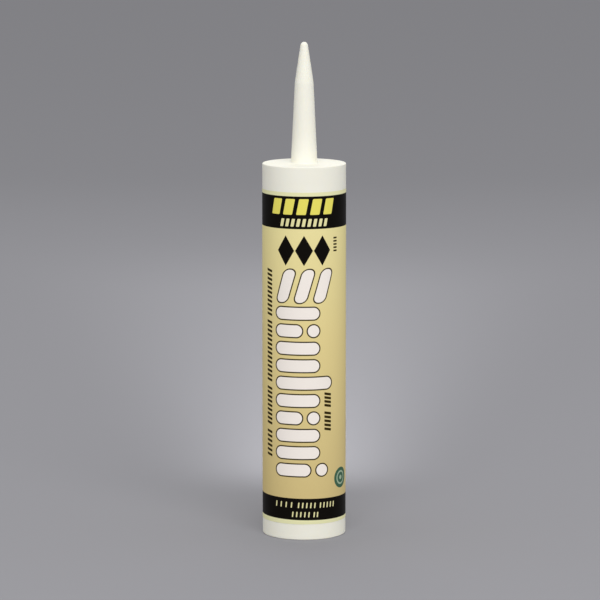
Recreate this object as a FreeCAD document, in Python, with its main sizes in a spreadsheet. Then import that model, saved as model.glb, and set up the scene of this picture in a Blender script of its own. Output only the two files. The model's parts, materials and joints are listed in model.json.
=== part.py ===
import FreeCAD, Part
import math
import os
import re
import Sketcher

# A 10.1 fl oz caulk tube, standing on its open rear end.
# Millimetres, +Z up along the tube's axis, origin at the centre of the foot, label's lap at +Y.
# Barrel, shoulder and nozzle are one hollow moulding, whose tip stays closed until it is cut.

DRIVING_SIZES = {
    # Barrel and shoulder, with heights counted from the foot
    "BarrelRadius": 24.2,
    "BarrelWall": 1.4,
    "BarrelLength": 217.5,
    "ShoulderThickness": 1.8,
    "ShoulderRimRound": 0.5,
    "ShoulderInsideBevel": 0.8,
    "FootRound": 0.7,
    "FootLeadIn": 0.3,
    # Nozzle in two slopes, with heights counted from the shoulder's face
    "NozzleLength": 69.9,
    "NozzleRootRadius": 7.65,
    "NozzleRootRound": 0.8,
    "NozzleKinkRadius": 5.39,
    "NozzleKinkHeight": 46.5,
    "NozzleTipRadius": 2.2,
    "NozzleWall": 1.2,
    "NozzleTipThickness": 2.0,
    # Plunger, a cup piston with a wiper lip at each end of its skirt and ribs behind its face
    "PlungerRecess": 18.0,
    "PlungerHeight": 14.0,
    "PlungerFit": 0.1,
    "PlungerStopGap": 0.3,
    "PlungerBevelMargin": 0.6,
    "PlungerFaceThickness": 1.8,
    "SkirtWall": 1.5,
    "SkirtRelief": 0.5,
    "SkirtRearBevel": 0.3,
    "LipHeight": 2.0,
    "LipRamp": 0.8,
    "RibCount": 6,
    "RibThickness": 1.1,
    "RibHeight": 7.0,
    "HubRadius": 6.0,
    "HubWall": 1.3,
    # Sealant, which fills the bore from the plunger to the shoulder
    "SealantGap": 0.15,
    # Label, a film wrapped once round the barrel with its ends lapped at the back
    "LabelFromFoot": 9.4,
    "LabelFromShoulder": 14.5,
    "LabelGlue": 0.04,
    "LabelFilm": 0.07,
    "LabelLap": 6.0,
}

WORKED_OUT_SIZES = {
    "BoreRadius": "BarrelRadius - BarrelWall",
    "ShoulderInside": "BarrelLength - ShoulderThickness",
    "NozzleKinkLevel": "BarrelLength + NozzleKinkHeight",
    "NozzleTipLevel": "BarrelLength + NozzleLength",
    "PassageEndLevel": "NozzleTipLevel - NozzleTipThickness",
    "LipRadius": "BoreRadius - PlungerFit",
    "SkirtRadius": "LipRadius - SkirtRelief",
    "CupRadius": "SkirtRadius - SkirtWall",
    "PlungerFront": "PlungerRecess + PlungerHeight",
    "PlungerBevel": "ShoulderInsideBevel + PlungerBevelMargin",
    "FrontLipLevel": "PlungerFront - PlungerBevel - LipHeight",
    "RearLipLevel": "PlungerRecess + LipHeight",
    "CupFloor": "PlungerFront - PlungerFaceThickness",
    "RibRear": "CupFloor - RibHeight",
    "PlungerStroke": "ShoulderInside - PlungerStopGap - PlungerFront",
    "SealantRadius": "BoreRadius - SealantGap",
    "SealantRear": "PlungerFront + SealantGap",
    "SealantFront": "ShoulderInside - SealantGap",
    "LabelInnerRadius": "BarrelRadius + LabelGlue",
    "LabelOuterRadius": "LabelInnerRadius + LabelFilm",
    "LabelTop": "BarrelLength - LabelFromShoulder",
}

# How far a found edge may lie from the place that it is looked for
SAME_PLACE = 1e-4

# A sketch's numbers for the points of a curve, and for its own origin and axes
START, END, CENTRE = 1, 2, 3
LEVEL_AXIS, TUBE_AXIS = -1, -2
FULL_TURN = 360

doc = FreeCAD.newDocument("CaulkTube")
sheet = doc.addObject("Spreadsheet::Sheet", "Sizes")


def fill_sheet():
    """Driving sizes as plain numbers, then the sizes worked out from them as formulas."""
    cells = {name: str(number) for name, number in DRIVING_SIZES.items()}
    cells.update({name: f"={rule}" for name, rule in WORKED_OUT_SIZES.items()})
    for row, (name, content) in enumerate(cells.items(), 1):
        sheet.set(f"A{row}", name)
        sheet.setAlias(f"B{row}", name)
        sheet.set(f"B{row}", content)
    doc.recompute()


def size(rule):
    """The present value of a rule written in the sheet's names."""
    return float(sheet.evalExpression(rule))


def bind(thing, path, rule):
    """Ties a property or constraint to a rule written in the sheet's names, each a word with a capital."""
    thing.setExpression(path, re.sub(r"\b[A-Z]\w+", r"Sizes.\g<0>", rule))


def new_body(name):
    body = doc.addObject("PartDesign::Body", name)
    body.Label = name
    body.Placement = FreeCAD.Placement()
    return body


def new_sketch(body, name, plane):
    sketch = body.newObject("Sketcher::SketchObject", name)
    sketch.AttachmentSupport = [(next(f for f in body.Origin.OriginFeatures if f.Role == plane), "")]
    sketch.MapMode = "FlatFace"
    return sketch


def add_runs(sketch, corners, closed=True):
    """Straight runs through named corners, each given by rules for its radius and its height.
    Returns the number of the last run."""
    spots = [FreeCAD.Vector(size(radius), size(height), 0) for radius, height in corners.values()]
    if closed:
        spots.append(spots[0])
    runs = [sketch.addGeometry(Part.LineSegment(a, b), False) for a, b in zip(spots, spots[1:])]
    for before, after in zip(runs, runs[1:]):
        join(sketch, before, after)
    if closed:
        join(sketch, runs[-1], runs[0])
    for number, (name, (radius, height)) in enumerate(corners.items()):
        run, end = (runs[number], START) if number < len(runs) else (runs[-1], END)
        pin_point(sketch, name, run, end, radius, height)
    return runs[-1]


def join(sketch, before, after):
    sketch.addConstraint(Sketcher.Constraint("Coincident", before, END, after, START))


def pin_point(sketch, name, run, end, radius, height):
    """Ties one point of the sketch to its radius and its height; a rule of 0 puts it on that axis."""
    for kind, axis, measure, rule in (
        ("DistanceX", TUBE_AXIS, "Radius", radius),
        ("DistanceY", LEVEL_AXIS, "Height", height),
    ):
        if rule == "0":
            sketch.addConstraint(Sketcher.Constraint("PointOnObject", run, end, axis))
            continue
        number = sketch.addConstraint(Sketcher.Constraint(kind, LEVEL_AXIS, START, run, end, size(rule)))
        sketch.renameConstraint(number, name + measure)
        bind(sketch, f"Constraints.{name}{measure}", rule)


def revolve(body, name, sketch, angle=None):
    """Turns a section about the tube's axis: all round, or by a rule for the angle, half to each side."""
    turned = body.newObject("PartDesign::Revolution", name)
    turned.Profile = sketch
    turned.ReferenceAxis = (sketch, ["V_Axis"])
    turned.Angle = FULL_TURN
    if angle:
        turned.Midplane = True
        bind(turned, "Angle", angle)
    doc.recompute()


def ring_edges(shape, radius, level):
    """Names of the edges that are circles about the axis, of this radius and at this height."""
    names = []
    for number, edge in enumerate(shape.Edges, 1):
        if edge.Degenerated or not isinstance(edge.Curve, Part.Circle):
            continue
        off = abs(edge.Curve.Radius - size(radius)) + abs(edge.Curve.Center.z - size(level))
        if off < SAME_PLACE:
            names.append(f"Edge{number}")
    return names


def ease_ring(body, kind, name, amount, radius, level):
    """Rounds (Fillet) or bevels (Chamfer) the circular edges of this radius and at this height."""
    base = body.Tip
    eased = body.newObject(f"PartDesign::{kind}", name)
    eased.Base = (base, ring_edges(base.Shape, radius, level))
    bind(eased, {"Fillet": "Radius", "Chamfer": "Size"}[kind], amount)
    doc.recompute()


def make_cartridge():
    body = new_body("cartridge")
    section = new_sketch(body, "CartridgeSection", "XZ_Plane")
    lower_slope = add_runs(
        section,
        {
            "PassageEnd": ("0", "PassageEndLevel"),
            "PassageEndEdge": ("NozzleTipRadius - NozzleWall", "PassageEndLevel"),
            "PassageKink": ("NozzleKinkRadius - NozzleWall", "NozzleKinkLevel"),
            "PassageMouth": ("NozzleRootRadius - NozzleWall", "ShoulderInside"),
            "BoreEnd": ("BoreRadius", "ShoulderInside"),
            "BoreMouth": ("BoreRadius", "0"),
            "Foot": ("BarrelRadius", "0"),
            "ShoulderRim": ("BarrelRadius", "BarrelLength"),
            "NozzleRoot": ("NozzleRootRadius", "BarrelLength"),
            "NozzleKink": ("NozzleKinkRadius", "NozzleKinkLevel"),
        },
        closed=False,
    )
    close_nozzle_tip(section, lower_slope)
    revolve(body, "Moulding", section)
    ease_ring(body, "Fillet", "FootRounding", "FootRound", "BarrelRadius", "0")
    ease_ring(body, "Chamfer", "FootLeadInBevel", "FootLeadIn", "BoreRadius", "0")
    ease_ring(body, "Fillet", "ShoulderRimRounding", "ShoulderRimRound", "BarrelRadius", "BarrelLength")
    ease_ring(body, "Chamfer", "ShoulderInsideCorner", "ShoulderInsideBevel", "BoreRadius", "ShoulderInside")
    ease_ring(body, "Fillet", "NozzleRootCorner", "NozzleRootRound", "NozzleRootRadius", "BarrelLength")
    return body


def close_nozzle_tip(section, lower_slope):
    """Upper slope, the round tip that it runs into smoothly, and the axis down to the passage's end."""
    kink = FreeCAD.Vector(size("NozzleKinkRadius"), size("NozzleKinkLevel"), 0)
    top = FreeCAD.Vector(0, size("NozzleTipLevel"), 0)
    centre = FreeCAD.Vector(0, size("NozzleTipLevel - NozzleTipRadius"), 0)
    side = centre + FreeCAD.Vector(size("NozzleTipRadius"), 0, 0)
    round_tip = Part.Circle(centre, FreeCAD.Vector(0, 0, 1), size("NozzleTipRadius"))
    upper_slope = section.addGeometry(Part.LineSegment(kink, side), False)
    tip = section.addGeometry(Part.ArcOfCircle(round_tip, 0, math.pi / 2), False)
    passage_end = FreeCAD.Vector(0, size("PassageEndLevel"), 0)
    thickness = section.addGeometry(Part.LineSegment(top, passage_end), False)
    first_run = 0
    join(section, lower_slope, upper_slope)
    section.addConstraint(Sketcher.Constraint("Tangent", upper_slope, END, tip, START))
    join(section, tip, thickness)
    join(section, thickness, first_run)
    section.addConstraint(Sketcher.Constraint("PointOnObject", tip, CENTRE, TUBE_AXIS))
    radius = section.addConstraint(Sketcher.Constraint("Radius", tip, size("NozzleTipRadius")))
    section.renameConstraint(radius, "TipRadius")
    bind(section, "Constraints.TipRadius", "NozzleTipRadius")
    pin_point(section, "Tip", tip, END, "0", "NozzleTipLevel")


def make_plunger():
    body = new_body("plunger")
    section = new_sketch(body, "PlungerSection", "XZ_Plane")
    add_runs(
        section,
        {
            "FaceCentre": ("0", "PlungerFront"),
            "FaceEdge": ("LipRadius - PlungerBevel", "PlungerFront"),
            "FrontLipFront": ("LipRadius", "PlungerFront - PlungerBevel"),
            "FrontLipRear": ("LipRadius", "FrontLipLevel"),
            "ReliefFront": ("SkirtRadius", "FrontLipLevel - LipRamp"),
            "ReliefRear": ("SkirtRadius", "RearLipLevel + LipRamp"),
            "RearLipFront": ("LipRadius", "RearLipLevel"),
            "RearLipRear": ("LipRadius", "PlungerRecess"),
            "CupMouth": ("CupRadius", "PlungerRecess"),
            "CupCorner": ("CupRadius", "CupFloor"),
            "CupCentre": ("0", "CupFloor"),
        },
    )
    revolve(body, "Cup", section)
    ease_ring(body, "Chamfer", "RearLipBevel", "SkirtRearBevel", "LipRadius", "PlungerRecess")
    hub_section = new_sketch(body, "HubSection", "XZ_Plane")
    add_runs(
        hub_section,
        {
            "HubInnerRear": ("HubRadius - HubWall", "RibRear"),
            "HubOuterRear": ("HubRadius", "RibRear"),
            "HubOuterFront": ("HubRadius", "CupFloor + PlungerFaceThickness / 2"),
            "HubInnerFront": ("HubRadius - HubWall", "CupFloor + PlungerFaceThickness / 2"),
        },
    )
    revolve(body, "Hub", hub_section)
    add_ribs(body)
    return body


def add_ribs(body):
    """Radial ribs from the hub to the skirt, standing on the back of the face."""
    outline = new_sketch(body, "RibOutline", "XZ_Plane")
    add_runs(
        outline,
        {
            "RibHubRear": ("HubRadius - HubWall / 2", "RibRear"),
            "RibSkirtRear": ("CupRadius + SkirtWall / 2", "RibRear"),
            "RibSkirtFront": ("CupRadius + SkirtWall / 2", "CupFloor + PlungerFaceThickness / 2"),
            "RibHubFront": ("HubRadius - HubWall / 2", "CupFloor + PlungerFaceThickness / 2"),
        },
    )
    rib = body.newObject("PartDesign::Pad", "Rib")
    rib.Profile = outline
    rib.Midplane = True
    bind(rib, "Length", "RibThickness")
    doc.recompute()
    ribs = body.newObject("PartDesign::PolarPattern", "Ribs")
    ribs.Originals = [rib]
    ribs.Axis = (outline, ["V_Axis"])
    ribs.Angle = FULL_TURN
    bind(ribs, "Occurrences", "RibCount")
    body.Tip = ribs
    doc.recompute()


def make_sealant():
    """The column of sealant, a little clear of what holds it, its front edge inside the shoulder's corner."""
    body = new_body("sealant")
    section = new_sketch(body, "SealantSection", "XZ_Plane")
    add_runs(
        section,
        {
            "RearCentre": ("0", "SealantRear"),
            "RearEdge": ("SealantRadius", "SealantRear"),
            "SideEnd": ("SealantRadius", "SealantFront - ShoulderInsideBevel"),
            "FrontEdge": ("SealantRadius - ShoulderInsideBevel", "SealantFront"),
            "FrontCentre": ("0", "SealantFront"),
        },
    )
    revolve(body, "Column", section)
    return body


def make_label():
    body = new_body("label")
    wrap_section = new_sketch(body, "WrapSection", "XZ_Plane")
    add_runs(wrap_section, film_section("LabelInnerRadius", "LabelOuterRadius"))
    revolve(body, "Wrap", wrap_section)
    lap_section = new_sketch(body, "LapSection", "YZ_Plane")
    add_runs(lap_section, film_section("LabelInnerRadius + LabelFilm / 2", "LabelOuterRadius + LabelFilm"))
    revolve(body, "Lap", lap_section, angle="LabelLap / LabelOuterRadius * 180 / pi")
    return body


def film_section(inner, outer):
    """Corners of a strip of film over the label's full height."""
    return {
        "InnerFoot": (inner, "LabelFromFoot"),
        "OuterFoot": (outer, "LabelFromFoot"),
        "OuterTop": (outer, "LabelTop"),
        "InnerTop": (inner, "LabelTop"),
    }


def check(bodies):
    """Stops before anything is written if a feature failed or a piece isn't one sound solid."""
    failed = [thing.Label for thing in doc.Objects if {"Invalid", "Error"} & set(thing.State)]
    if failed:
        raise RuntimeError(f"failed features: {failed}")
    for body in bodies:
        if body.Shape.isNull() or not body.Shape.isValid() or len(body.Shape.Solids) != 1:
            raise RuntimeError(f"{body.Label} isn't one sound solid")


def write(bodies):
    os.makedirs("parts", exist_ok=True)
    for body in bodies:
        body.Shape.exportStep(f"parts/{body.Label}.step")
        box = body.Shape.BoundBox
        print(f"{body.Label}: {body.Shape.Volume:.0f} cubic mm, z {box.ZMin:.2f} to {box.ZMax:.2f}")
    print(f"plunger stroke {size('PlungerStroke'):.2f} mm")


fill_sheet()
pieces = [make_cartridge(), make_plunger(), make_sealant(), make_label()]
check(pieces)
write(pieces)
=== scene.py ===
import json
import math

import bmesh
import bpy
from mathutils import Matrix, Vector


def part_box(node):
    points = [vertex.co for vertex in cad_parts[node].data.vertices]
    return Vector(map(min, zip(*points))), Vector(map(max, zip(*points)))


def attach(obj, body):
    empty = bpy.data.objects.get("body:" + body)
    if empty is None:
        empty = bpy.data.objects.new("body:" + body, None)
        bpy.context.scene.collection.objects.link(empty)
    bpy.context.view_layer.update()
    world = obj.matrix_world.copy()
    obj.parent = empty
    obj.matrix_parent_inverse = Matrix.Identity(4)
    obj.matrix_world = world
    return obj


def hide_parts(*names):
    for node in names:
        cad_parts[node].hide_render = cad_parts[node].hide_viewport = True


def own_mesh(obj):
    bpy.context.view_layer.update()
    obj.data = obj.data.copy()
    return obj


# A caulk tube standing on its open rear end: one white moulding of barrel, shoulder and nozzle,
# a printed film label round it, a ribbed plunger in its rear and the sealant from there to the shoulder.
# Sizes are in millimetres and heights count from the foot. The print is laid out by the distance
# round the label from the middle of its front, plus to the right, and by the height.

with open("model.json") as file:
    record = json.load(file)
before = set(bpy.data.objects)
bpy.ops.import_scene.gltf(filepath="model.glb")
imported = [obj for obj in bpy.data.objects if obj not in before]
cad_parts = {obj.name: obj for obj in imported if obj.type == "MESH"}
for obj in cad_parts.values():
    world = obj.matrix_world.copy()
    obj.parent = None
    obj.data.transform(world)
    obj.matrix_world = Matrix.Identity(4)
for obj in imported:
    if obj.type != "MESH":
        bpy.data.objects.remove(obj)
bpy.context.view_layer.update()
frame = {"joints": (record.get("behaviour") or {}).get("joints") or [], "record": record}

MM = 0.001
FULL_TURN = 2 * math.pi

# Sizes that the frame gives
MOUNTS = {mount["name"]: mount for mount in frame["record"]["mounts"]}
SLIDE = next(joint for joint in frame["joints"] if joint["name"] == "plunger_slide")
BARREL_RADIUS = MOUNTS["barrel"]["dims"]["r_mm"]
SHOULDER_LEVEL = MOUNTS["shoulder"]["pos_m"][2] / MM
NOZZLE_TIP_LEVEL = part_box("cartridge")[1].z / MM
PLUNGER_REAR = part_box("plunger")[0].z / MM
PLUNGER_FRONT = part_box("plunger")[1].z / MM
LIP_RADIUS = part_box("plunger")[1].x / MM
SEALANT_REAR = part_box("sealant")[0].z / MM
SEALANT_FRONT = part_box("sealant")[1].z / MM
SEALANT_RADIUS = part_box("sealant")[1].x / MM
LABEL_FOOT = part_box("label")[0].z / MM
LABEL_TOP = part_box("label")[1].z / MM
LABEL_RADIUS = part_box("label")[1].x / MM
LAP_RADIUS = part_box("label")[1].y / MM

# Moulding
BARREL_WALL = 1.4
SHOULDER_WALL = 1.8
SHOULDER_RIM_ROUND = 0.5
SHOULDER_INSIDE_ROUND = 0.8
FOOT_ROUND = 0.6
FOOT_LEAD_IN = 0.3
NOZZLE_ROOT_RADIUS = 7.65
NOZZLE_ROOT_ROUND = 0.8
NOZZLE_KINK_RADIUS = 5.39
NOZZLE_KINK_LEVEL = SHOULDER_LEVEL + 46.5
NOZZLE_KINK_ROUND = 6.0
NOZZLE_TIP_EDGE = 1.89
NOZZLE_TIP_ROUND = 2.19
NOZZLE_WALL = 1.2
NOZZLE_TIP_WALL = 2.0

# Plunger
SKIRT_RELIEF = 0.5
SKIRT_WALL = 1.5
FACE_WALL = 1.8
FACE_BEVEL = 1.4
LIP_HEIGHT = 2.0
LIP_RAMP = 0.8
HUB_RADIUS = 6.0
HUB_WALL = 1.3
RIB_COUNT = 6
RIB_HEIGHT = 7.0
RIB_WALL = 1.1
SMALL_ROUND = 0.3

# Label
LABEL_LAP = 6.0
LAP_RAMP = 1.5

# Sealant
SEALANT_FRONT_ROUND = 0.8

# How finely round forms are stepped
TURN_STEPS = 160
LABEL_STEPS = 240
LABEL_ROWS = 24
ROUND_STEPS = 6
SHARP_ANGLE = math.radians(40)
SAME_PLACE = 0.0001


class Wire:
    """One output of a shader node. Arithmetic on wires and numbers adds Math nodes to their tree."""

    def __init__(self, tree, socket=None):
        self.tree = tree
        self.socket = socket

    def node(self, kind, inputs=None, settings=None, stops=None, output=0):
        """Adds any node: its settings first, then the values or wires of its sockets."""
        made = self.tree.nodes.new("ShaderNode" + kind)
        for name, value in (settings or {}).items():
            setattr(made, name, value)
        for number, (position, colour) in enumerate(stops or []):
            if number < len(made.color_ramp.elements):
                stop = made.color_ramp.elements[number]
                stop.position = position
            else:
                stop = made.color_ramp.elements.new(position)
            stop.color = colour
        for name, value in (inputs or {}).items():
            if isinstance(value, Wire):
                self.tree.links.new(value.socket, made.inputs[name])
            else:
                made.inputs[name].default_value = value
        return Wire(self.tree, made.outputs[output] if made.outputs else None)

    def beside(self, output):
        """Another output of the same node."""
        return Wire(self.tree, self.socket.node.outputs[output])

    def maths(self, operation, *values):
        return self.node("Math", dict(enumerate(values)), {"operation": operation})

    def between(self, first, second):
        """A colour that goes from the first to the second as this factor goes from 0 to 1."""
        return self.node("Mix", {0: self, 6: first, 7: second}, {"data_type": "RGBA"}, output=2)

    def lower(self, other):
        return self.maths("MINIMUM", self, other)

    def higher(self, other):
        return self.maths("MAXIMUM", self, other)

    def root(self):
        return self.maths("SQRT", self)

    def fraction(self):
        return self.maths("FRACT", self)

    def __add__(self, other):
        return self.maths("ADD", self, other)

    __radd__ = __add__

    def __sub__(self, other):
        return self.maths("SUBTRACT", self, other)

    def __rsub__(self, other):
        return self.maths("SUBTRACT", other, self)

    def __mul__(self, other):
        return self.maths("MULTIPLY", self, other)

    __rmul__ = __mul__

    def __truediv__(self, other):
        return self.maths("DIVIDE", self, other)

    def __rtruediv__(self, other):
        return self.maths("DIVIDE", other, self)

    def __abs__(self):
        return self.maths("ABSOLUTE", self)


# Plastics and paste, as linear colours: the darkest and the lightest of each
BARREL_WHITES = ((0.852, 0.836, 0.732, 1), (0.884, 0.870, 0.770, 1))
PLUNGER_WHITES = ((0.780, 0.785, 0.735, 1), (0.830, 0.832, 0.785, 1))
PASTE_WHITES = ((0.800, 0.785, 0.720, 1), (0.880, 0.868, 0.815, 1))


def new_material(name):
    """A bare material, and a wire in its tree for its nodes to start from."""
    material = bpy.data.materials.new(name)
    material.use_nodes = True
    material.node_tree.nodes.clear()
    return material, Wire(material.node_tree)


def place_in_mm(start):
    """The surface's own place on the object, in millimetres."""
    place = start.node("TexCoord", output="Object")
    return place.node("VectorMath", {0: place, "Scale": 1 / MM}, {"operation": "SCALE"})


def grain(place, length, detail=2.0, stretch=1.0):
    """Cloudy variation from 0 to 1, with lumps of this length in mm, drawn out along the tube."""
    drawn = place.node("Mapping", {"Vector": place, "Scale": (1, 1, 1 / stretch)})
    return place.node("TexNoise", {"Vector": drawn, "Scale": 1 / length, "Detail": detail})


def relief(height):
    """The normal of a surface whose small relief is given in millimetres."""
    return height.node("Bump", {"Height": height, "Strength": 1.0, "Distance": MM})


def finish_surface(colour, roughness, normal, **fixed):
    """Ends a material in one plastic shader, with its unvarying values on the shader's own sockets."""
    sockets = {"Base Color": colour, "Roughness": roughness, "Normal": normal}
    sockets.update({name.replace("_", " "): value for name, value in fixed.items()})
    shader = colour.node("BsdfPrincipled", sockets)
    colour.node("OutputMaterial", {"Surface": shader})


def moulded_plastic():
    """Warm white polyethylene, satin, with the fine long marks of a drawn core and cavity."""
    material, start = new_material("moulded_plastic")
    place = place_in_mm(start)
    cloud = grain(place, length=14.0)
    drag = grain(place, length=0.9, stretch=60.0)
    pores = grain(place, length=0.35)
    roughness = 0.42 + 0.10 * cloud + 0.06 * drag
    normal = relief(0.010 * drag + 0.004 * pores)
    finish_surface(
        cloud.between(*BARREL_WHITES), roughness, normal, IOR=1.5, Specular_IOR_Level=0.2,
        Subsurface_Weight=0.2, Subsurface_Radius=(1.0, 0.9, 0.7), Subsurface_Scale=MM,
    )
    return material


def plunger_plastic():
    """Milky plastic of the plunger, a little greyer and duller than the barrel's."""
    material, start = new_material("milky_plastic")
    place = place_in_mm(start)
    cloud = grain(place, length=5.0)
    pores = grain(place, length=0.3)
    roughness = 0.42 + 0.12 * cloud
    finish_surface(cloud.between(*PLUNGER_WHITES), roughness, relief(0.006 * pores), IOR=1.5)
    return material


def sealant_paste():
    """Off-white paste, moist, with the soft swirls of its filling."""
    material, start = new_material("moist_paste")
    swirl = grain(place_in_mm(start), length=7.0, detail=4.0)
    roughness = 0.24 + 0.16 * swirl
    finish_surface(swirl.between(*PASTE_WHITES), roughness, relief(0.35 * swirl), IOR=1.45)
    return material


# Print, in millimetres. The bands cover the margins' edges by the overlap.
UPPER_BAND = (181.95, 200.8)
LOWER_BAND = (11.75, 24.5)
LOWER_BAND_LEAN = 0.0148
BAND_OVERLAP = 1.0
INK_EDGE = 0.12
SMALL_CORNER = 0.35
OUTLINE = 0.75

# Roundel: its place round the label and its height, the radius of its disc, and its ring and dot
ROUNDEL_PLACE = (25.6, 34.9)
ROUNDEL_RADIUS = 6.1
ROUNDEL_RING = (4.1, 3.1)
ROUNDEL_DOT = 1.3

# Rows and columns of like strokes
YELLOW_ROW = dict(run=(-21.0, 19.0), rise=(190.2, 199.3), count=5, thick=5.6, lean=0.2, corner=0.6)
PALE_ROW = dict(run=(-14.8, 14.5), rise=(183.4, 187.9), count=9, thick=1.85, lean=0.2)
HEAD_BARS = dict(run=(-16.6, 17.0), rise=(139.3, 158.4), count=3, thick=6.9, lean=0.3, corner=3.2)
SIDE_MARKS = dict(run=(167.8, 177.1), rise=(18.5, 21.3), count=5, thick=1.0, corner=0.3)

# Groups of small strokes: the two edges that the strokes reach, and each group's start, end and count
LOWER_STROKE = dict(thick=0.75, lean=0.1)
LOWER_ROWS = {
    (18.9, 22.2): [(-19.0, -5.8, 4), (-4.4, 7.5, 5), (8.6, 19.8, 5)],
    (13.5, 16.7): [(-7.9, 4.0, 5), (4.9, 8.9, 2)],
}
COLUMN_STROKE = dict(thick=1.5, lean=-0.2)
SMALL_COLUMNS = {
    (-25.6, -20.9): [(130.2, 158.2, 11), (91.8, 128.2, 14), (66.5, 89.4, 9), (47.7, 64.0, 6)],
    (12.2, 16.8): [(77.6, 86.6, 4), (63.7, 75.5, 5)],
}

# Level white bars, from the top down: where each ends on the right, and the discs beside some of them
BAR_LEFT = -17.3
BAR_ENDS = (8.9, -1.2, 8.9, 8.9, 16.8, 8.9, -1.2, 8.9, 8.9, 3.6)
BAR_DISCS = {1: 5.5, 6: 5.5, 9: 10.6}
BAR_THICK = 6.8
TOP_BAR = 133.0
BAR_PITCH = 10.2

# Lozenges
LOZENGE_COUNT = 3
LOZENGE_PITCH = 10.9
LOZENGE_WIDTH = 10.4
LOZENGE_RISE = (160.6, 178.2)
LOZENGE_MIDDLE = -0.1

# Inks, as linear colours
MARGIN = (0.805, 0.785, 0.465, 1)
BLACK = (0.0045, 0.0035, 0.0025, 1)
BROWN = (0.032, 0.021, 0.004, 1)
WHITE = (0.900, 0.835, 0.770, 1)
YELLOW = (0.800, 0.720, 0.130, 1)
PALE = (0.780, 0.730, 0.380, 1)
GREEN = (0.050, 0.125, 0.075, 1)
MINT = (0.340, 0.450, 0.315, 1)

# The film's own colour by height, from its foot at 0 to its top at 1. The ramp's two ends come first.
CREAM_STOPS = [
    (0.05, (0.635, 0.500, 0.222, 1)),
    (1.00, (0.840, 0.760, 0.370, 1)),
    (0.55, (0.760, 0.630, 0.285, 1)),
]


def inked(distance):
    """1 inside a printed shape and 0 outside, with an edge as soft as print."""
    settings = {"operation": "MULTIPLY_ADD", "use_clamp": True}
    return distance.node("Math", {0: distance, 1: -1 / INK_EDGE, 2: 0.5}, settings)


def band(across, first, last):
    """Distance to the strip between two levels."""
    return abs(across - (first + last) / 2) - (last - first) / 2


def slab(along, across, length, width, corner):
    """Distance to a rectangle about the middle, its corners rounded: a capsule where they fill its width."""
    past_end = (abs(along) - (length / 2 - corner)).higher(0)
    past_side = (abs(across) - (width / 2 - corner)).higher(0)
    return (past_end * past_end + past_side * past_side).root() - corner


def strokes(along, across, run, rise, count, thick, lean=0.0, corner=SMALL_CORNER):
    """Distance to a row of like strokes, evenly set along its run, that each reach across its rise."""
    middle = (rise[0] + rise[1]) / 2
    leaned = along - lean * (across - middle)
    pitch = (run[1] - run[0]) / count
    cell = ((leaned - run[0]) / pitch).fraction() - 0.5
    stroke = slab(cell * pitch, across - middle, thick, rise[1] - rise[0], corner)
    return stroke.higher(band(leaned, *run))


def with_groups(distance, along, across, groups, thick, lean):
    """The least of a distance and the distances to groups of small strokes."""
    for rise, runs in groups.items():
        for first, last, count in runs:
            group = strokes(along, across, (first, last), rise, count, thick, lean)
            distance = distance.lower(group)
    return distance


def white_bars(arc, height):
    """Distance to the column of white bars that runs down the front: slanted at its head, then level."""
    distance = strokes(arc, height, **HEAD_BARS)
    for number, right in enumerate(BAR_ENDS):
        across = height - (TOP_BAR - BAR_PITCH * number)
        along = arc - (BAR_LEFT + right) / 2
        distance = distance.lower(slab(along, across, right - BAR_LEFT, BAR_THICK, BAR_THICK / 2))
        if number in BAR_DISCS:
            distance = distance.lower(ring(arc - BAR_DISCS[number], across, BAR_THICK / 2))
    return distance


def lozenges(arc, height):
    """Distance to the heavy lozenges under the upper band."""
    half_width = LOZENGE_WIDTH / 2
    half_height = (LOZENGE_RISE[1] - LOZENGE_RISE[0]) / 2
    half_row = LOZENGE_COUNT * LOZENGE_PITCH / 2
    along = arc - LOZENGE_MIDDLE
    cell = ((along + half_row) / LOZENGE_PITCH).fraction() - 0.5
    across = abs(cell) * (LOZENGE_PITCH / half_width)
    up = abs(height - sum(LOZENGE_RISE) / 2) / half_height
    side = half_width * half_height / math.hypot(half_width, half_height)
    return ((up + across - 1) * side).higher(abs(along) - half_row)


def ring(across, up, outer, inner=0.0):
    """Distance to a disc or ring about the middle."""
    reach = (across * across + up * up).root()
    return (reach - outer).higher(inner - reach)


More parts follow.
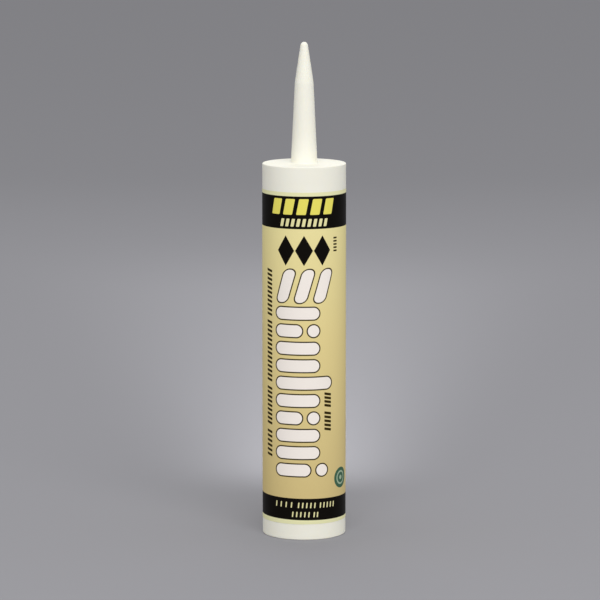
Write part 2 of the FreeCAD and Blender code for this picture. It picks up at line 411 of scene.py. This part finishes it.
def label_print():
    """Printed film: cream shading to tan, black bands, and plain bars, lozenges and strokes as its print."""
    material, start = new_material("label_print")
    place = place_in_mm(start)
    across = place.node("SeparateXYZ", {"Vector": place}, output="X")
    height = across.beside("Z")
    arc = across.maths("ARCTAN2", across, 0 - across.beside("Y")) * LABEL_RADIUS
    leaned = height + LOWER_BAND_LEAN * across
    roundel = (arc - ROUNDEL_PLACE[0], height - ROUNDEL_PLACE[1])
    margins = 0 - band(height, LOWER_BAND[0] + BAND_OVERLAP, UPPER_BAND[1] - BAND_OVERLAP)
    bars = white_bars(arc, height)
    side_marks = strokes(height, arc, **SIDE_MARKS)
    dark_strokes = with_groups(side_marks, height, arc, SMALL_COLUMNS, **COLUMN_STROKE)
    pale_row = strokes(arc, height, **PALE_ROW)
    pale_strokes = with_groups(pale_row, arc, leaned, LOWER_ROWS, **LOWER_STROKE)
    layers = [
        (MARGIN, margins),
        (BLACK, lozenges(arc, height)),
        (BROWN, bars - OUTLINE),
        (WHITE, bars),
        (BROWN, dark_strokes),
        (GREEN, ring(*roundel, ROUNDEL_RADIUS)),
        (MINT, ring(*roundel, *ROUNDEL_RING).lower(ring(*roundel, ROUNDEL_DOT))),
        (BLACK, band(height, *UPPER_BAND).lower(band(leaned, *LOWER_BAND))),
        (YELLOW, strokes(arc, height, **YELLOW_ROW)),
        (PALE, pale_strokes),
    ]
    fade = (height - LABEL_FOOT) / (LABEL_TOP - LABEL_FOOT)
    colour = place.node("ValToRGB", {"Fac": fade}, stops=CREAM_STOPS)
    for ink, distance in layers:
        colour = inked(distance).between(colour, ink)
    wave = grain(place, length=9.0, stretch=3.0)
    fibre = grain(place, length=0.5)
    roughness = 0.40 + 0.10 * wave
    normal = relief(0.030 * wave + 0.002 * fibre)
    finish_surface(colour, roughness, normal, IOR=1.45, Specular_IOR_Level=0.05)
    return material


def round_corner(mesh, vert, radius):
    """Makes a section's corner an arc of this radius in millimetres."""
    ways = [(edge.other_vert(vert).co - vert.co).normalized() for edge in vert.link_edges]
    turn = math.pi - ways[0].angle(ways[1])
    bmesh.ops.bevel(
        mesh, geom=[vert], offset=radius * MM * math.tan(turn / 2), offset_type="OFFSET",
        segments=ROUND_STEPS, profile=0.5, affect="VERTICES", material=-1, clamp_overlap=True,
    )


def turned(corners, closed):
    """A solid turned about the tube's axis, from corners given by radius, height and rounding.
    A section that isn't closed ends on the axis."""
    mesh = bmesh.new()
    verts = [mesh.verts.new((radius * MM, 0, height * MM)) for radius, height, _ in corners]
    for first, second in zip(verts, verts[1:] + verts[:1] * closed):
        mesh.edges.new((first, second))
    for vert, (_, _, rounding) in zip(verts, corners):
        if rounding:
            round_corner(mesh, vert, rounding)
    bmesh.ops.spin(
        mesh, geom=mesh.verts[:] + mesh.edges[:], cent=(0, 0, 0), axis=(0, 0, 1), dvec=(0, 0, 0),
        angle=FULL_TURN, steps=TURN_STEPS, use_merge=True, use_duplicate=False,
    )
    bmesh.ops.remove_doubles(mesh, verts=mesh.verts, dist=SAME_PLACE * MM)
    bmesh.ops.recalc_face_normals(mesh, faces=mesh.faces)
    return mesh


def placed(name, mesh, material):
    """An object from a finished mesh, shaded smooth up to its real edges."""
    data = bpy.data.meshes.new(name)
    mesh.to_mesh(data)
    mesh.free()
    data.polygons.foreach_set("use_smooth", [True] * len(data.polygons))
    data.set_sharp_from_angle(angle=SHARP_ANGLE)
    data.materials.append(material)
    piece = bpy.data.objects.new(name, data)
    bpy.context.scene.collection.objects.link(piece)
    return piece


def even_shading(piece):
    """Lets the large faces set the shading beside small rounds."""
    modifier = piece.modifiers.new("even_shading", "WEIGHTED_NORMAL")
    modifier.keep_sharp = True


def stands_for(piece, node, body):
    """The piece rides on its body in place of a node, whose part is hidden."""
    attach(piece, body)
    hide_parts(node)


def make_moulding():
    """Barrel, shoulder and nozzle in one, turned from the tip down the outside and back up the inside."""
    bore = BARREL_RADIUS - BARREL_WALL
    inside = SHOULDER_LEVEL - SHOULDER_WALL
    passage_end = NOZZLE_TIP_LEVEL - NOZZLE_TIP_WALL
    mesh = turned(
        [
            (0, NOZZLE_TIP_LEVEL, 0),
            (NOZZLE_TIP_EDGE, NOZZLE_TIP_LEVEL, NOZZLE_TIP_ROUND),
            (NOZZLE_KINK_RADIUS, NOZZLE_KINK_LEVEL, NOZZLE_KINK_ROUND),
            (NOZZLE_ROOT_RADIUS, SHOULDER_LEVEL, NOZZLE_ROOT_ROUND),
            (BARREL_RADIUS, SHOULDER_LEVEL, SHOULDER_RIM_ROUND),
            (BARREL_RADIUS, 0, FOOT_ROUND),
            (bore + FOOT_LEAD_IN, 0, 0),
            (bore, FOOT_LEAD_IN, 0),
            (bore, inside, SHOULDER_INSIDE_ROUND),
            (NOZZLE_ROOT_RADIUS - NOZZLE_WALL, inside, SMALL_ROUND),
            (NOZZLE_KINK_RADIUS - NOZZLE_WALL, NOZZLE_KINK_LEVEL, NOZZLE_KINK_ROUND),
            (NOZZLE_TIP_EDGE - NOZZLE_WALL + SMALL_ROUND, passage_end, SMALL_ROUND),
            (0, passage_end, 0),
        ],
        closed=False,
    )
    moulding = placed("barrel_and_nozzle", mesh, moulded_plastic())
    even_shading(moulding)
    stands_for(moulding, "cartridge", "cartridge")


def make_label():
    """The film starts behind, goes once round and climbs over its own start by the lap."""
    film = LAP_RADIUS - LABEL_RADIUS
    inner = LABEL_RADIUS - film
    length = FULL_TURN * LABEL_RADIUS + LABEL_LAP
    start = math.pi / 2 - LABEL_LAP / LABEL_RADIUS / 2
    mesh = bmesh.new()
    ends = [mesh.verts.new((inner * MM, 0, level * MM)) for level in (LABEL_FOOT, LABEL_TOP)]
    mesh.edges.new(ends)
    bmesh.ops.subdivide_edges(mesh, edges=mesh.edges[:], cuts=LABEL_ROWS - 1)
    bmesh.ops.rotate(mesh, verts=mesh.verts[:], cent=(0, 0, 0), matrix=Matrix.Rotation(start, 3, "Z"))
    column = mesh.edges[:]
    radius = inner
    step = Matrix.Rotation(length / LABEL_RADIUS / LABEL_STEPS, 3, "Z")
    for number in range(1, LABEL_STEPS + 1):
        extruded = bmesh.ops.extrude_edge_only(mesh, edges=column)["geom"]
        column = [part for part in extruded if isinstance(part, bmesh.types.BMEdge)]
        verts = [part for part in extruded if isinstance(part, bmesh.types.BMVert)]
        gone = number / LABEL_STEPS * length
        climb = (gone - (length - LABEL_LAP - LAP_RAMP)) / LAP_RAMP
        lifted = inner + film * min(max(climb, 0), 1)
        bmesh.ops.rotate(mesh, verts=verts, cent=(0, 0, 0), matrix=step)
        bmesh.ops.scale(mesh, verts=verts, vec=(lifted / radius, lifted / radius, 1))
        radius = lifted
    bmesh.ops.recalc_face_normals(mesh, faces=mesh.faces)
    label = placed("wrap_label", mesh, label_print())
    wall = label.modifiers.new("film", "SOLIDIFY")
    wall.thickness = film * MM
    wall.offset = 1
    even_shading(label)
    stands_for(label, "label", "cartridge")


def make_plunger():
    """Cup with a wiper lip at each end of its skirt, and a hub and ribs behind its face."""
    skirt = LIP_RADIUS - SKIRT_RELIEF
    cup = skirt - SKIRT_WALL
    floor = PLUNGER_FRONT - FACE_WALL
    front_lip = PLUNGER_FRONT - FACE_BEVEL
    rear_lip = PLUNGER_REAR + LIP_HEIGHT
    mesh = turned(
        [
            (0, PLUNGER_FRONT, 0),
            (LIP_RADIUS - FACE_BEVEL, PLUNGER_FRONT, SMALL_ROUND),
            (LIP_RADIUS, front_lip, SMALL_ROUND),
            (LIP_RADIUS, front_lip - LIP_HEIGHT, 0),
            (skirt, front_lip - LIP_HEIGHT - LIP_RAMP, SMALL_ROUND),
            (skirt, rear_lip + LIP_RAMP, SMALL_ROUND),
            (LIP_RADIUS, rear_lip, 0),
            (LIP_RADIUS, PLUNGER_REAR, SMALL_ROUND),
            (cup, PLUNGER_REAR, SMALL_ROUND),
            (cup, floor, SMALL_ROUND),
            (0, floor, 0),
        ],
        closed=False,
    )
    plastic = plunger_plastic()
    plunger = placed("piston", mesh, plastic)
    rear = floor - RIB_HEIGHT
    buried = floor + FACE_WALL / 2
    hub = turned(
        [
            (HUB_RADIUS - HUB_WALL, rear, SMALL_ROUND),
            (HUB_RADIUS, rear, SMALL_ROUND),
            (HUB_RADIUS, buried, 0),
            (HUB_RADIUS - HUB_WALL, buried, 0),
        ],
        closed=True,
    )
    parts = [placed("hub", hub, plastic)]
    for number in range(RIB_COUNT):
        parts.append(placed("rib", rib_mesh(rear, buried, cup, number), plastic))
    for part in parts:
        weld(plunger, part)
    merge_points(plunger)
    plunger.data.set_sharp_from_angle(angle=SHARP_ANGLE)
    even_shading(plunger)
    stands_for(plunger, "plunger", "plunger")


def rib_mesh(rear, buried, cup, number):
    """One rib from the hub's wall to the skirt's, its rear edges rounded."""
    first = HUB_RADIUS - HUB_WALL / 2
    last = cup + SKIRT_WALL / 2
    mesh = bmesh.new()
    size = Matrix.Diagonal((last - first, RIB_WALL, buried - rear)) * MM
    bmesh.ops.create_cube(mesh, size=1, matrix=size.to_4x4())
    middle = Vector(((first + last) / 2, 0, (rear + buried) / 2)) * MM
    bmesh.ops.translate(mesh, verts=mesh.verts, vec=middle)
    rear_edges = [edge for edge in mesh.edges if all(vert.co.z < middle.z for vert in edge.verts)]
    long_edges = [edge for edge in rear_edges if edge.calc_length() > 1.5 * RIB_WALL * MM]
    bmesh.ops.bevel(
        mesh, geom=long_edges, offset=SMALL_ROUND * MM, segments=3, profile=0.5, affect="EDGES", material=-1,
    )
    turn = Matrix.Rotation(FULL_TURN / RIB_COUNT * number, 3, "Z")
    bmesh.ops.rotate(mesh, verts=mesh.verts, cent=(0, 0, 0), matrix=turn)
    return mesh


def weld(piece, part):
    """Makes a part one with a piece, and removes the part."""
    union = piece.modifiers.new("weld", "BOOLEAN")
    union.operation = "UNION"
    union.solver = "EXACT"
    union.object = part
    bpy.context.view_layer.update()
    whole = bpy.data.meshes.new_from_object(piece.evaluated_get(bpy.context.evaluated_depsgraph_get()))
    piece.modifiers.remove(union)
    piece.data = whole
    bpy.data.objects.remove(part)


def merge_points(piece):
    """Merges the points that the welds leave on the same place."""
    mesh = bmesh.new()
    mesh.from_mesh(piece.data)
    bmesh.ops.remove_doubles(mesh, verts=mesh.verts, dist=SAME_PLACE * MM)
    mesh.to_mesh(piece.data)
    mesh.free()


def make_sealant():
    """The column of sealant, from its rear face up to its rounded front under the shoulder."""
    mesh = turned(
        [
            (0, SEALANT_REAR, 0),
            (SEALANT_RADIUS, SEALANT_REAR, SMALL_ROUND),
            (SEALANT_RADIUS, SEALANT_FRONT, SEALANT_FRONT_ROUND),
            (0, SEALANT_FRONT, 0),
        ],
        closed=False,
    )
    sealant = placed("sealant_column", mesh, sealant_paste())
    stands_for(sealant, "sealant", "cartridge")
    room = SEALANT_FRONT - (PLUNGER_FRONT + SLIDE["range_m"][1] / MM)
    keep = room / 2 / (SEALANT_FRONT - SEALANT_REAR)
    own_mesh(sealant)


# Stage: places and sizes in metres, angles in degrees, lens and sensor in millimetres
FLOOR_REACH = 30.0
FLOOR_COLOUR = (0.302, 0.300, 0.320, 1)
CAMERA_PLACE = (-0.0024, -1.975, 0.441)
CAMERA_PITCH = 81.258
CAMERA_LENS = 206.28
SENSOR_WIDTH = 36.0
ROOM_LIGHT = 0.71
TUBE_MIDDLE = (0, 0, 0.14)
SOFTBOXES = {
    "key_softbox": dict(place=(0.30, -1.90, 1.55), aim=TUBE_MIDDLE, width=2.4, length=2.0, power=38.5),
    "back_softbox": dict(
        place=(0, 1.60, 1.10), aim=TUBE_MIDDLE, width=1.6, length=1.2, power=2.0, spread=110,
    ),
    "floor_softbox": dict(
        place=(0, 0.51, 0.30), aim=(0, 0.65, 0), width=0.08, length=0.9, power=0.21, spread=60,
    ),
}


def make_floor():
    """A plain floor, open under the foot and clear from below, so that the rear end can be seen and lit."""
    mesh = bmesh.new()
    hole = (BARREL_RADIUS - FOOT_ROUND) * MM
    bmesh.ops.create_circle(mesh, cap_ends=False, radius=hole, segments=TURN_STEPS)
    rim = bmesh.ops.extrude_edge_only(mesh, edges=mesh.edges[:])["geom"]
    outer = [part for part in rim if isinstance(part, bmesh.types.BMVert)]
    bmesh.ops.scale(mesh, verts=outer, vec=(FLOOR_REACH / hole, FLOOR_REACH / hole, 1))
    bmesh.ops.recalc_face_normals(mesh, faces=mesh.faces)
    if mesh.faces[:][0].normal.z < 0:
        bmesh.ops.reverse_faces(mesh, faces=mesh.faces)
    floor = placed("floor", mesh, floor_paint())


def floor_paint():
    """Matt grey on the floor's upper face, and clear on its underside."""
    material, start = new_material("floor_paint")
    paint = start.node("BsdfDiffuse", {"Color": FLOOR_COLOUR})
    clear = start.node("BsdfTransparent")
    underside = start.node("NewGeometry", output="Backfacing")
    start.node("OutputMaterial", {"Surface": start.node("MixShader", {0: underside, 1: paint, 2: clear})})
    return material


def softbox(name, place, aim, width, length, power, spread=180):
    """An oblong soft light of a power in watts, out of sight itself, that faces the point it is aimed at."""
    light = bpy.data.lights.new(name, "AREA")
    light.shape = "RECTANGLE"
    light.size = width
    light.size_y = length
    light.energy = power
    light.spread = math.radians(spread)
    lamp = bpy.data.objects.new(name, light)
    bpy.context.scene.collection.objects.link(lamp)
    lamp.location = place
    lamp.rotation_euler = (Vector(place) - Vector(aim)).to_track_quat("Z", "Y").to_euler()
    lamp.visible_camera = False


def make_lights():
    """The softboxes, and a plain white room round everything."""
    for name, setting in SOFTBOXES.items():
        softbox(name, **setting)
    world = bpy.data.worlds.new("room")
    bpy.context.scene.world = world
    world.use_nodes = True
    shade = world.node_tree.nodes["Background"]
    shade.inputs["Color"].default_value = (1.0, 1.0, 1.0, 1)
    shade.inputs["Strength"].default_value = ROOM_LIGHT


def make_camera():
    """The photograph's view: from the front and a little above."""
    camera = bpy.data.cameras.new("camera")
    camera.lens = CAMERA_LENS
    camera.sensor_width = SENSOR_WIDTH
    stand = bpy.data.objects.new("camera", camera)
    bpy.context.scene.collection.objects.link(stand)
    stand.location = CAMERA_PLACE
    stand.rotation_euler = (math.radians(CAMERA_PITCH), 0, 0)
    bpy.context.scene.camera = stand


bpy.context.scene.view_settings.view_transform = "Standard"
make_moulding()
make_label()
make_plunger()
make_sealant()
make_floor()
make_lights()
make_camera()

bpy.context.view_layer.update()
